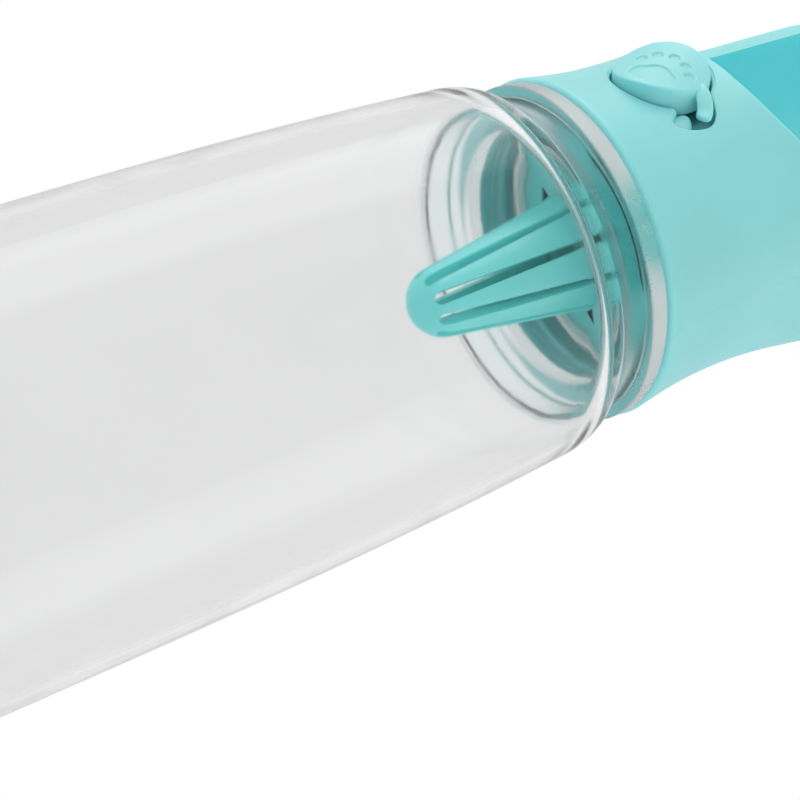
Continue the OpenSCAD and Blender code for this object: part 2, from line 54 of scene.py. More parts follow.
# shared mesh helpers; lengths are in millimetres until the mesh is made

def bezier(a, b, c, d, count):
    # cubic curve through four control points, count points from a to d
    t = np.linspace(0, 1, count)[:, None]
    a, b, c, d = (np.array(p, float) for p in (a, b, c, d))
    return (1 - t) ** 3 * a + 3 * t * (1 - t) ** 2 * b + 3 * t * t * (1 - t) * c + t ** 3 * d


def ellipseArc(centre, radii, start, end, count):
    # points of an ellipse between two angles in degrees
    a = np.radians(np.linspace(start, end, count))
    return np.stack([centre[0] + radii[0] * np.cos(a), centre[1] + radii[1] * np.sin(a)], -1)


def joinPaths(*paths):
    # one path from several, without the points that two of them share
    path = np.concatenate([np.atleast_2d(np.array(p, float)) for p in paths])
    keep = np.r_[True, np.linalg.norm(np.diff(path, axis=0), axis=1) > 1e-4]
    return path[keep]


def refine(path, step):
    # more points on each straight stretch, so that none is longer than step
    parts = []
    for a, b in zip(path[:-1], path[1:]):
        count = max(1, int(math.ceil(np.linalg.norm(b - a) / step)))
        parts.append(a + (b - a) * np.linspace(0, 1, count, endpoint=False)[:, None])
    return np.concatenate(parts + [path[-1:]])


def roundCorners(path, radius, steps=4):
    # each inner corner of an open path becomes a small curve that starts radius before it
    path = np.array(path, float)
    parts = [path[:1]]
    for before, corner, after in zip(path[:-2], path[1:-1], path[2:]):
        back, ahead = before - corner, after - corner
        r = min(radius, np.linalg.norm(back) * 0.45, np.linalg.norm(ahead) * 0.45)
        a = corner + back / np.linalg.norm(back) * r
        b = corner + ahead / np.linalg.norm(ahead) * r
        t = np.linspace(0, 1, steps + 1)[:, None]
        parts.append((1 - t) ** 2 * a + 2 * t * (1 - t) * corner + t * t * b)
    return np.concatenate(parts + [path[-1:]])


def smoothStep(low, high, x):
    # eases from 0 at low to 1 at high: three times the square less twice the cube
    t = np.clip((x - low) / (high - low), 0, 1)
    return t * t * (3 - 2 * t)


def gridMesh(name, grid, startPole=None, endPole=None, ring=False):
    # grid is rows x columns x 3. The columns close on themselves. A pole closes the first
    # or last row with a fan, and ring joins the last row to the first. Faces point outwards.
    rows, cols = grid.shape[:2]
    verts = grid.reshape(-1, 3)
    i = np.arange(rows if ring else rows - 1)[:, None]
    j = np.arange(cols)[None, :]
    below, above, nextCol = i * cols, (i + 1) % rows * cols, (j + 1) % cols
    quads = np.stack([below + j, below + nextCol, above + nextCol, above + j], -1).reshape(-1, 4)
    j, nextCol = j[0], nextCol[0]
    fans = []
    ends = ((startPole, 0, (nextCol, j)), (endPole, (rows - 1) * cols, (j, nextCol)))
    for pole, first, sense in ends:
        if pole is not None:
            centre = np.full(cols, len(verts))
            verts = np.vstack([verts, pole])
            fans.append(np.stack([centre, first + sense[0], first + sense[1]], -1))
    tris = np.concatenate([quads[:, [0, 1, 2]], quads[:, [0, 2, 3]]] + fans)
    a, b, c = (verts[tris[:, k]] for k in range(3))
    faces = quads.tolist() + [f for fan in fans for f in fan.tolist()]
    turnedIn = np.einsum("ij,ij->i", a, np.cross(b, c)).sum() < 0
    if turnedIn:
        faces = [f[::-1] for f in faces]
    mesh = bpy.data.meshes.new(name)
    mesh.from_pydata((verts * mm).tolist(), [], faces)
    mesh.update()
    piece = bpy.data.objects.new(name, mesh)
    bpy.context.scene.collection.objects.link(piece)
    return piece


def lathe(name, profile, columns):
    # profile is a list of radius and height, turned round Z; both ends lie on the axis
    a = np.linspace(0, 2 * np.pi, columns, endpoint=False)
    r, z = profile[1:-1, 0][:, None], profile[1:-1, 1][:, None]
    grid = np.stack([r * np.cos(a), r * np.sin(a), z + 0 * a], -1)
    return gridMesh(name, grid, [0, 0, profile[0, 1]], [0, 0, profile[-1, 1]])


def apply(piece):
    # the mesh with its modifiers becomes the piece's own mesh
    graph = bpy.context.evaluated_depsgraph_get()
    mesh = bpy.data.meshes.new_from_object(piece.evaluated_get(graph))
    piece.modifiers.clear()
    piece.data = mesh


def combine(piece, tool, operation):
    # adds the tool's solid to the piece, or takes it away
    cut = piece.modifiers.new("combine", "BOOLEAN")
    cut.object, cut.operation, cut.solver = tool, operation, "MANIFOLD"
    apply(piece)
    bpy.data.objects.remove(tool)


def smooth(piece, angle=35):
    # smooth shading with hard edges where faces meet at more than the angle
    piece.data.polygons.foreach_set("use_smooth", np.ones(len(piece.data.polygons), bool))
    piece.data.set_sharp_from_angle(angle=math.radians(angle))


def threadHeight(angle, z, start, thread):
    # how high a screw ridge stands: its centre climbs one pitch a turn from the start angle,
    # its section is a rounded trapezium, and it fades in and out over fadeTurn
    height = np.zeros(np.broadcast(angle, z).shape)
    turned = np.mod(angle / (2 * np.pi) - start / 360, 1)
    for whole in (0, 1):
        turns = turned + whole
        centre = thread["first"] + thread["pitch"] * turns
        side = smoothStep(thread["base"] / 2 + thread["ease"], thread["crest"] / 2 - thread["ease"],
                          np.abs(z - centre))
        fade = smoothStep(0, thread["fadeTurn"], turns) * smoothStep(
            thread["turns"], thread["turns"] - thread["fadeTurn"], turns)
        height = np.maximum(height, thread["height"] * side * fade)
    return height


# heights that several pieces share

neckAboveRim, rimGap, sealLift = 7.2, 0.3, 0.3
rimZ = 148.0  # plane of the head's rim
valveZ = 167.3  # axis of the button and valve
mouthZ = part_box("bottle")[1].z / mm
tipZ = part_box("head_shell")[1].z / mm
flangeTop = mouthZ - neckAboveRim - rimGap
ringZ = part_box("bulkhead_seal")[0].z / mm - sealLift  # underside of the bulkhead
thread = {"first": rimZ + 1.9, "pitch": 3.5, "turns": 1.1, "height": 1.2,
          "base": 1.9, "crest": 1.0, "ease": 0.06, "fadeTurn": 0.12}


# bottle

bottle = {
    "bodyR": 36.0, "taper": 2.5, "taperFrom": 18.0, "taperPower": 3.1, "wall": 2.0,
    "floor": 2.6, "standR": 22.0, "pushUp": 2.4, "baseRound": 6.0,
    "shoulderLen": 7.8, "shoulderR": 30.2, "grooveH": 5.7, "grooveR": 28.9,
    "flangeT": 3.3, "flangeR": 30.7, "neckR": 25.2, "neckBore": 23.5, "mouthRound": 0.5,
    "collarWall": 1.7, "columns": 224,
}


def bottleRadius(z):
    # straight body, then a narrowing that grows with a power of the height
    b = bottle
    share = np.clip((z - b["taperFrom"]) / (shoulderLow - b["taperFrom"]), 0, 1)
    return b["bodyR"] - b["taper"] * share ** b["taperPower"]


def makeBottle():
    # an outer and an inner profile turned round Z, with the screw ridge as a displacement
    b = bottle
    z = np.linspace(b["baseRound"], shoulderLow, 44)
    body = np.stack([bottleRadius(z), z], -1)
    shoulderIn = b["bodyR"] - b["taper"]
    baseX = b["bodyR"] - b["baseRound"]
    foot = roundCorners([[0, b["pushUp"]], [b["standR"] - 5, b["pushUp"]], [b["standR"], 0],
                         [baseX, 0]], 1.6, 6)
    collar = roundCorners([
        [b["shoulderR"] - 0.5, shoulderZ], [b["grooveR"], shoulderZ - 0.1],
        [b["grooveR"], flangeLow], [b["flangeR"], flangeLow], [b["flangeR"], flangeTop],
        [b["neckR"], flangeTop]], 0.7, 5)
    turn = b["mouthRound"]
    neck = refine(joinPaths([b["neckR"], flangeTop], [b["neckR"], mouthZ - turn]), 0.22)
    lip = ellipseArc((b["neckR"] - turn, mouthZ - turn), (turn, turn), 0, 90, 5)
    outer = joinPaths(
        foot, ellipseArc((baseX, b["baseRound"]), (b["baseRound"],) * 2, -90, 0, 12), body,
        ellipseArc((b["shoulderR"] - 0.4, shoulderLow),
                   (shoulderIn - b["shoulderR"] + 0.4, b["shoulderLen"]), 0, 88, 20),
        collar, neck, lip)
    low = b["floor"] + b["pushUp"]
    roundIn = b["baseRound"] - b["wall"]
    innerBody = np.stack([bottleRadius(z[::-1]) - b["wall"], z[::-1]], -1)
    collarR, arcLow = b["grooveR"] - b["collarWall"], shoulderLow - 1.0
    underFlange = roundCorners([
        [b["neckBore"], flangeLow + 0.6], [b["neckBore"], flangeLow - 0.8],
        [collarR, flangeLow - 2.0], [collarR, shoulderZ - 1.8]], 0.9, 6)
    inner = joinPaths(
        ellipseArc((b["neckBore"] + turn, mouthZ - turn), (turn, turn), 90, 180, 5),
        refine(joinPaths([b["neckBore"], mouthZ - turn], [b["neckBore"], flangeLow + 0.6]), 1.2),
        underFlange,
        ellipseArc((collarR, arcLow), (shoulderIn - b["wall"] - collarR, shoulderZ - 1.8 - arcLow),
                   90, 0, 18),
        innerBody[(innerBody[:, 1] > low + roundIn) & (innerBody[:, 1] < arcLow - 0.5)],
        ellipseArc((baseX, low + roundIn), (roundIn, roundIn), 0, -90, 10),
        [0, low])
    profile = joinPaths(outer, inner)
    a = np.linspace(0, 2 * np.pi, b["columns"], endpoint=False)
    r, z = profile[1:-1, 0][:, None], profile[1:-1, 1][:, None]
    onNeck = np.abs(r - b["neckR"]) < 0.02
    r = r + threadHeight(a[None, :], z, 0, thread) * onNeck
    grid = np.stack([r * np.cos(a), r * np.sin(a), z + 0 * a], -1)
    piece = gridMesh("clear_bottle", grid, [0, 0, profile[0, 1]], [0, 0, profile[-1, 1]])
    smooth(piece, 50)
    return piece


flangeLow = flangeTop - bottle["flangeT"]
shoulderZ = flangeLow - bottle["grooveH"]
shoulderLow = shoulderZ - bottle["shoulderLen"]
bottlePiece = makeBottle()
print("bottle made")


# head: skirt, waist and trough in one skin

head = {
    "rimR": 31.0, "waistR": 29.2, "troughR": 34.9, "wall": 2.3, "troughWall": 3.4,
    "rimRound": 0.8, "widestH": 84.0, "lipFrontH": 30.1, "lipSideY": 7.0,
    "lipRound": 0.6, "lipRoundIn": 1.1,
    "floorH": 28.2, "floorT": 2.2, "skirtBore": 26.75, "seatR": 22.6, "ledgeR": 21.5,
    "seatTop": 2.01, "ledgeT": 1.45, "halfColumns": 150, "outerRows": 66, "bowlRows": 58,
    "evenTo": 62.0,
    # heights above the rim: the waist, then the handles of the curves below and above it,
    # and of the bowl's side above its rounded foot
    "waistH": 21, "handlesBelow": (9, 13), "handlesAbove": (39, 50), "handlesBowl": (43, 55),
    "bowlRound": (5.5, 6),
}


def headOutline():
    # radius against height of the outside, from the rim to the tip
    h = head
    waist = [h["waistR"], rimZ + h["waistH"]]
    (a, b), (c, d) = h["handlesBelow"], h["handlesAbove"]
    return joinPaths(
        bezier([h["rimR"], rimZ + h["rimRound"]], [h["waistR"] + 0.4, rimZ + a],
               [h["waistR"], rimZ + b], waist, 90),
        bezier(waist, [h["waistR"], rimZ + c], [h["troughR"], rimZ + d],
               [h["troughR"], widestZ], 160),
        ellipseArc((0, widestZ), (h["troughR"], tipZ - widestZ), 0, 90, 160))


def bowlOutline():
    # radius against height of the inside of the trough, from its floor to the tip
    h = head
    bowlR, floorZ = h["waistR"] - h["wall"], rimZ + h["floorH"]
    inR = h["troughR"] - h["troughWall"]
    (across, up), (c, d) = h["bowlRound"], h["handlesBowl"]
    return joinPaths(
        [[0.0, floorZ]], refine(joinPaths([0.8, floorZ], [bowlR - across, floorZ]), 0.8),
        ellipseArc((bowlR - across, floorZ + up), (across, up), -90, 0, 40),
        bezier([bowlR, floorZ + up], [bowlR + 1.2, rimZ + c], [inR, rimZ + d], [inR, widestZ], 160),
        ellipseArc((0, widestZ), (inR, tipZ - widestZ - h["troughWall"]), 0, 90, 160))


def lipCurve():
    # the open front's edge seen from the side, as Y against Z, from the front to the tip
    h = head
    front, side = rimZ + h["lipFrontH"], -h["lipSideY"]
    return joinPaths(
        refine(joinPaths([-h["waistR"] - 2, front], [-h["waistR"] + 0.2, front]), 0.05),
        bezier([-h["waistR"] + 0.2, front], [-25, front + 1.6], [-18.5, front + 6],
               [-14, front + 12.4], 400),
        bezier([-14, front + 12.4], [side - 3, front + 18], [side - 0.9, front + 28],
               [side + 0.4, widestZ], 400),
        bezier([side + 0.4, widestZ], [side + 1, widestZ + 12], [side + 6, tipZ - 6],
               [side + 12, tipZ + 2], 500))


def lipOn(outline, share):
    # where the lip's side curve meets a surface of revolution, at shares of its length
    low = outline[:, 1] >= outline[0, 1]
    y, z = lipCurve().T
    r = np.interp(z, outline[low, 1], outline[low, 0], right=0)
    inside = np.flatnonzero(r > np.abs(y))
    first, last = inside[0], inside[-1]
    y, z, r = (v[first:last + 1] for v in (y, z, r))
    x = np.sqrt(np.maximum(r * r - y * y, 0))
    x[0] = x[-1] = 0
    run = np.r_[0, np.cumsum(np.linalg.norm(np.diff(np.stack([x, y, z], -1), axis=0), axis=1))]
    at = share * run[-1]
    return np.stack([np.interp(at, run, v) for v in (x, y, z)], -1)


def spread(outline, lip, startAngle, rows, gap):
    # rows of points up a surface of revolution to gap short of the lip. Each column leaves
    # at its start angle and turns to meet its own point of the lip.
    length = np.r_[0, np.cumsum(np.linalg.norm(np.diff(outline, axis=0), axis=1))]
    lipAngle = np.arctan2(lip[:, 0], -lip[:, 1])
    reach = np.interp(lip[:, 2], outline[:, 1], length)
    t = np.linspace(0, 1, rows)[:, None]
    s = t * (reach - gap)[None, :]
    r, z = np.interp(s, length, outline[:, 0]), np.interp(s, length, outline[:, 1])
    angle = startAngle + (lipAngle - startAngle) * smoothStep(0, 1, s / reach)
    return np.stack([r * np.sin(angle), -r * np.cos(angle), z], -1)


def makeHead():
    # columns run from the ceiling of the dry space, down the skirt's bore, over the rim, up
    # the outside, over the rounded lip and down the bowl to the middle of its floor
    h = head
    share = np.linspace(0, 1, h["halfColumns"] + 1)
    outline, bowl = headOutline(), bowlOutline()
    bowlSide = bowl[1:]
    lipOut, lipIn = lipOn(outline, share), lipOn(bowlSide, share)
    lipAngle = np.arctan2(lipOut[:, 0], -lipOut[:, 1])
    even = math.radians(h["evenTo"])
    last = int(np.flatnonzero(lipAngle < even)[-1])
    rest = np.linspace(0, 1, len(share) - last)
    startAngle = np.r_[lipAngle[:last], lipAngle[last] + (np.pi - lipAngle[last]) * rest]
    # below the rim every row is a circle
    cavityLow, ceiling = ringZ + h["seatTop"] + h["ledgeT"], rimZ + h["floorH"] - h["floorT"]
    inR = h["waistR"] - h["wall"]
    under = joinPaths(
        refine(joinPaths([1.5, ceiling], [inR - 1, ceiling]), 3),
        ellipseArc((inR - 1, ceiling - 1), (1, 1), 90, 0, 4),
        refine(joinPaths([inR, ceiling - 1], [inR, cavityLow]), 2),
        refine(joinPaths([h["ledgeR"], cavityLow], [h["ledgeR"], ringZ + h["seatTop"]]), 1),
        [[h["seatR"], ringZ + h["seatTop"]], [h["seatR"], ringZ]],
        refine(joinPaths([h["skirtBore"], ringZ], [h["skirtBore"], rimZ + 0.7]), 0.22),
        [[h["skirtBore"] + 0.25, rimZ + 0.2], [h["skirtBore"] + 0.8, rimZ]],
        ellipseArc((h["rimR"] - h["rimRound"], rimZ + h["rimRound"]), (h["rimRound"],) * 2,
                   -90, -10, 7))
    r, z = under[:, :1], under[:, 1:]
    onBore = np.abs(r - h["skirtBore"]) < 0.01
    turned = startAngle - np.pi / 2

    def underRows(side):
        angle = np.where(side > 0, turned, -np.pi - turned)[None, :]
        radius = r - threadHeight(angle, z, 180, thread) * onBore
        return np.stack([radius * np.cos(angle), radius * np.sin(angle), z + 0 * angle], -1)

    outside = spread(outline, lipOut, startAngle, h["outerRows"], h["lipRound"])
    inside = spread(bowlSide, lipIn, startAngle, h["bowlRows"], h["lipRoundIn"])[::-1]
    # the lip: a curve round each edge and a straight face between
    across = lipIn - lipOut
    across /= np.linalg.norm(across, axis=1)[:, None]
    outEnd, inEnd = lipOut + across * h["lipRound"], lipIn - across * h["lipRoundIn"]
    t = np.linspace(0, 1, 7)[1:, None, None]
    outRound = (1 - t) ** 2 * outside[-1] + 2 * t * (1 - t) * lipOut + t * t * outEnd
    t = t[::-1]
    inRound = (1 - t) ** 2 * inside[0] + 2 * t * (1 - t) * lipIn + t * t * inEnd
    upper = np.concatenate([outside, outRound, inRound, inside])
    mirrored = upper[:, -2:0:-1] * [-1, 1, 1]
    right, left = underRows(np.array(1)), underRows(np.array(-1))[:, -2:0:-1]
    grid = np.concatenate([np.concatenate([right, left], 1),
                           np.concatenate([upper, mirrored], 1)])
    return gridMesh("drinking_head", grid, [0, 0, ceiling], [0, 0, rimZ + h["floorH"]])


widestZ = rimZ + head["widestH"]
headPiece = makeHead()
print("head made")


# what is cut into the head and built behind it

well = {"r": 8.68, "back": -23.3, "wall": 1.4, "flare": 0.45, "shaftR": 2.6}
recess = {
    # mouth of the tab's recess, in X and Z from the button's centre
    "mouth": [[5, 5.2], [8.4, 4.3], [10, 3.6], [11.4, 2.8], [12.5, 1.7], [13.1, 0.6],
              [13.25, -0.6], [13.1, -2.0], [12.75, -3.3], [12.2, -4.5], [11.45, -5.4],
              [10.6, -5.6], [10.05, -5.1], [9.4, -4.3], [8.6, -3.6], [5, -3.3]],
    "back": -23.5, "wall": 1.2, "flare": 0.35,
}
shelf = {
    # raised shelf that stops the tab when it is turned down
    "top": [[8.75, -3.0], [8.95, -2.0], [9.55, -1.5], [10.4, -1.6], [11.3, -2.1], [11.9, -2.9],
            [12.1, -4.0], [11.4, -5.6], [10.0, -5.6], [8.9, -4.2]],
    "below": 0.95, "round": 0.5,
}


def closedCurve(points, count):
    # a smooth closed curve through the points: each span is a cubic, and its slope at a point
    # is half the way from the point before to the point after
    p = np.array(points, float)
    t = np.linspace(0, len(p), count, endpoint=False)
    i, f = np.floor(t).astype(int), (t % 1)[:, None]
    a, b, c, d = (p[(i + k) % len(p)] for k in (-1, 0, 1, 2))
    return 0.5 * (2 * b + (c - a) * f + (2 * a - 5 * b + 4 * c - d) * f ** 2
                  + (3 * b - 3 * c + d - a) * f ** 3)


def grow(curve, by):
    # each point of a closed curve moved out square to the curve
    along = np.roll(curve, -1, 0) - np.roll(curve, 1, 0)
    out = np.stack([along[:, 1], -along[:, 0]], -1)
    out /= np.linalg.norm(out, axis=1)[:, None]
    area = np.sum(curve[:, 0] * np.roll(curve[:, 1], -1) - np.roll(curve[:, 0], -1) * curve[:, 1])
    return curve + out * by * (1 if area > 0 else -1)


def skinY(x, radius):
    # front of a round wall at X
    return -np.sqrt(np.maximum(radius ** 2 - x ** 2, 0))


def plunge(name, curve, rows, middle):
    # a solid along Y with the curve's outline. A row is (growth, depth, follows): the depth
    # counts from the waist's round surface where follows is 1, and is a plain Y where it is 0.
    layers = []
    for growth, depth, follows in rows:
        c = grow(curve, growth) if growth else curve
        y = skinY(c[:, 0], head["waistR"]) + depth if follows else np.full(len(c), float(depth))
        layers.append(np.stack([c[:, 0], y, c[:, 1] + valveZ], -1))
    poles = [[middle[0], layers[k][:, 1].mean(), middle[1] + valveZ] for k in (0, -1)]
    return gridMesh(name, np.array(layers), *poles)


def flareRows(flare, back):
    # rows for a cut whose mouth widens like a fillet of radius flare
    a = np.radians(np.linspace(0, 90, 6))
    rows = [(flare + 0.12, -2.5, 1), (flare + 0.12, -0.12, 1)]
    rows += [(flare * (1 - math.sin(t)), flare * (1 - math.cos(t)), 1) for t in a]
    rows += [(0, flare + 0.5, 1), (0, back - 0.35, 0), (-0.1, back - 0.1, 0), (-0.35, back, 0)]
    return rows


def circle(radius, count):
    # points of a circle round the origin, all round once
    a = np.linspace(0, 2 * np.pi, count, endpoint=False)
    return np.stack([radius * np.cos(a), radius * np.sin(a)], -1)


ring = circle(well["r"], 160)
recessCurve = closedCurve(recess["mouth"], 180)
behind = 1.2  # walls start this far behind the outer skin
combine(headPiece, plunge("cup", ring, [(well["wall"], behind, 1),
        (well["wall"], well["back"] + well["wall"], 0)], (0, 0)), "UNION")
combine(headPiece, plunge("box", recessCurve, [(recess["wall"], behind, 1),
        (recess["wall"], recess["back"] + recess["wall"], 0)], (9, 0)), "UNION")
combine(headPiece, plunge("well", ring, flareRows(well["flare"], well["back"]), (0, 0)),
        "DIFFERENCE")
combine(headPiece, plunge("recess", recessCurve, flareRows(recess["flare"], recess["back"]),
        (9, 0)), "DIFFERENCE")
shelfCurve = closedCurve(shelf["top"], 72)
top, edge = shelf["below"], shelf["round"]
combine(headPiece, plunge("shelf", shelfCurve, [
    (-edge, top, 1), (-edge * 0.3, top + edge * 0.3, 1), (0, top + edge, 1), (0, top + 2, 1),
    (0, recess["back"] + 0.5, 0)], (10.6, -3.5)), "UNION")
combine(headPiece, plunge("shaftHole", circle(well["shaftR"], 64), [
    (0, well["back"] - 2, 0), (0, well["back"] + well["wall"] + 2, 0)], (0, 0)), "DIFFERENCE")

holes = {"outletY": -4.0, "outletR": 4.3, "hangR": 2.5, "hangFromTip": 12.0, "flare": 0.5}


def bore(name, centre, axis, radii):
    # a cutter turned round an axis: radii is a list of radius and distance along the axis
    axis = np.array(axis, float) / np.linalg.norm(axis)
    sideways = np.cross(axis, [1, 0, 0])
    sideways /= np.linalg.norm(sideways)
    third = np.cross(axis, sideways)
    a = np.linspace(0, 2 * np.pi, 72, endpoint=False)
    around = np.cos(a)[:, None] * sideways + np.sin(a)[:, None] * third
    radii = np.array(radii, float)
    grid = np.array(centre) + radii[:, 0, None, None] * around + radii[:, 1, None, None] * axis
    return gridMesh(name, grid, grid[0].mean(0), grid[-1].mean(0))


floorZ = rimZ + head["floorH"]
combine(headPiece, bore("outlet", [0, holes["outletY"], floorZ], [0, 0, 1],
                        [[holes["outletR"], -5], [holes["outletR"], 3]]), "DIFFERENCE")
domeLen = tipZ - widestZ
hangZ = tipZ - holes["hangFromTip"]
hangY = head["troughR"] * math.sqrt(1 - ((hangZ - widestZ) / domeLen) ** 2)
outward = [0, hangY / head["troughR"] ** 2, (hangZ - widestZ) / domeLen ** 2]
flare, hangR = holes["flare"], holes["hangR"]
turnIn = np.radians(np.linspace(0, 90, 6))
outerFlare = [[hangR + flare * (1 - math.cos(t)), flare * (math.sin(t) - 1) + 0.02] for t in turnIn]
innerFlare = [[r, -head["troughWall"] - 0.04 - d] for r, d in reversed(outerFlare)]
combine(headPiece, bore("hang", [0, hangY, hangZ], outward,
        [[hangR + flare, -head["troughWall"] - 2]] + innerFlare + outerFlare
        + [[hangR + flare, 2]]), "DIFFERENCE")
smooth(headPiece, 38)
print("head cut:", len(headPiece.data.polygons), "faces")


# button with its lock tab and paw mark

button = {
    "r": 8.35, "ridgeY": -31.82, "curve": 17.6, "ridgeTurn": 29.0, "edge": 0.4,
    "faceT": 2.9, "skirtY": -26.1, "skirtT": 1.3, "shaftR": 2.0, "shaftEnd": -16.2,
    "bead": 0.3, "beadY": -17.1,
    "pawDepth": 0.34, "pawEdge": 0.2,
    "pad": [[2.0, -3.4, 2.9], [-0.1, -4.6, 1.9], [4.0, -2.8, 1.9]],
    "toes": [[-3.9, -1.4], [-2.9, 1.3], [-0.5, 3.0], [2.5, 3.1], [5.1, 1.8]], "toeR": 0.95,
}
tab = {
    # middle line of the tab in X, Z and its top surface's distance behind the ridge
    "path": [[5.8, 2.7, 1.75], [7.9, 2.1, 1.85], [9.7, 1.55, 2.7], [11.1, 0.6, 3.7],
             [12.0, -0.75, 4.3]],
    "width": 2.7, "thick": 1.2, "square": 3.6, "endRound": 0.8,
}


def faceDepth(x, z):
    # how far the round face falls behind its ridge: a circle's sagitta across the ridge
    turn = math.radians(button["ridgeTurn"])
    across = x * math.cos(turn) + z * math.sin(turn)
    return button["curve"] - np.sqrt(button["curve"] ** 2 - across ** 2)


def pawDepth(x, z):
    # pressed depth inside the pad's three circles or a toe's circle, eased over the edge
    gaps = [np.hypot(x - cx, z - cz) - r for cx, cz, r in button["pad"]]
    gaps += [np.hypot(x - cx, z - cz) - button["toeR"] for cx, cz in button["toes"]]
    e = button["pawEdge"]
    return button["pawDepth"] * smoothStep(e, -e, np.minimum.reduce(gaps))


def makeButton():
    # rings of growing radius over the face, a rounded edge, a skirt, and the shaft behind
    b = button
    a = np.linspace(0, 2 * np.pi, 240, endpoint=False)
    faceR = np.linspace(0.14, b["r"] - b["edge"], 58)[:, None]
    x, z = faceR * np.cos(a), faceR * np.sin(a)
    face = np.stack([x, b["ridgeY"] + faceDepth(x, z) + pawDepth(x, z), z], -1)
    t = np.radians(np.linspace(0, 90, 7))[1:, None]
    edgeR = b["r"] - b["edge"] + b["edge"] * np.sin(t)
    x, z = edgeR * np.cos(a), edgeR * np.sin(a)
    edge = np.stack([x, b["ridgeY"] + faceDepth(x, z) + b["edge"] * (1 - np.cos(t)), z], -1)
    # radius and Y of what lies behind, the same all round
    inR, floorY = b["r"] - b["skirtT"], b["ridgeY"] + b["faceT"]
    back = roundCorners([[b["r"], b["skirtY"] - 1], [b["r"], b["skirtY"]], [inR, b["skirtY"]],
                         [inR, floorY], [b["shaftR"], floorY], [b["shaftR"], b["beadY"] - 0.5],
                         [b["shaftR"] + b["bead"], b["beadY"]], [b["shaftR"], b["beadY"] + 0.5],
                         [b["shaftR"], b["shaftEnd"]], [0.4, b["shaftEnd"]]], 0.25, 3)
    r, y = back[:, :1], back[:, 1:]
    behindFace = np.stack([r * np.cos(a), y + 0 * a, r * np.sin(a)], -1)
    grid = np.concatenate([face, edge, behindFace]) + [0, 0, valveZ]
    front = b["ridgeY"] + pawDepth(0.0, 0.0)
    return gridMesh("push_button", grid, [0, front, valveZ], [0, b["shaftEnd"], valveZ])


def makeTab():
    # a rounded-square section carried along a smooth path, drawn in to a blunt round end
    t = tab
    p = np.array(t["path"], float)
    s = np.linspace(0, 1, 60)
    knots = np.linspace(0, 1, len(p))
    fit = np.stack([np.polyval(np.polyfit(knots, p[:, k], 3), s) for k in range(3)], -1)
    run = np.r_[0, np.cumsum(np.linalg.norm(np.diff(fit, axis=0), axis=1))]
    left = run[-1] - run
    end = np.sqrt(1 - np.clip(1 - left / t["endRound"], 0, 0.999) ** 2)
    along = np.gradient(fit, axis=0)
    along /= np.linalg.norm(along, axis=1)[:, None]
    wide = np.stack([-along[:, 1], along[:, 0], 0 * s], -1)
    wide /= np.linalg.norm(wide, axis=1)[:, None]
    a = np.linspace(0, 2 * np.pi, 48, endpoint=False)
    c, q = np.cos(a), np.sin(a)
    across = np.sign(c) * np.abs(c) ** (2 / t["square"]) * t["width"] / 2
    up = np.sign(q) * np.abs(q) ** (2 / t["square"]) * t["thick"] / 2
    middle = fit + [0, 0, t["thick"] / 2]
    flat = middle[:, None] + wide[:, None] * (across[None] * end[:, None])[..., None]
    flat[..., 2] += up[None] * (0.35 + 0.65 * end[:, None])
    # X, Z, depth becomes X, Y, Z
    grid = np.stack([flat[..., 0], button["ridgeY"] + flat[..., 2], flat[..., 1] + valveZ], -1)
    return gridMesh("tab", grid, grid[0].mean(0), grid[-1].mean(0))


buttonPiece = makeButton()
combine(buttonPiece, makeTab(), "UNION")
smooth(buttonPiece, 40)
print("button made")


# slotted basket

basket = {
    "drop": 31.0, "noseR": 6.3, "topR": 11.0, "wall": 2.1, "axisY": 1.4, "slots": 9,
    "slotTurn": -46.0, "slotW": 2.2, "slotTopW": 1.1, "slotLow": 2.6, "slotTop": 6.0,
    "flare": 0.3, "bore": 9.3, "socket": 5.5,
}


def basketProfiles():
    # outer and inner radius against height: a round nose, a cone and a straight collar
    b = basket
    noseZ, topZ = rimZ - b["drop"] + b["noseR"], ringZ - 0.2
    outer = joinPaths(
        ellipseArc((0, noseZ), (b["noseR"],) * 2, -90, -8, 22),
        refine(joinPaths([b["topR"] - 0.6, rimZ + 1.5], [b["topR"] - 0.15, rimZ + 2.8],
                         [b["topR"], rimZ + 4], [b["topR"], topZ - 0.3]), 1.5),
        [b["topR"] - 0.3, topZ])
    socketZ = ringZ - b["socket"] - 0.6
    inR = b["noseR"] - b["wall"]
    inner = joinPaths(
        ellipseArc((0, noseZ), (inR, inR), -90, -8, 16),
        refine(joinPaths([b["topR"] - 0.6 - b["wall"], rimZ + 1.5], [b["bore"] - 0.7, socketZ]), 2),
        [[b["bore"], socketZ], [b["bore"], topZ]])
    return outer, inner[::-1], noseZ


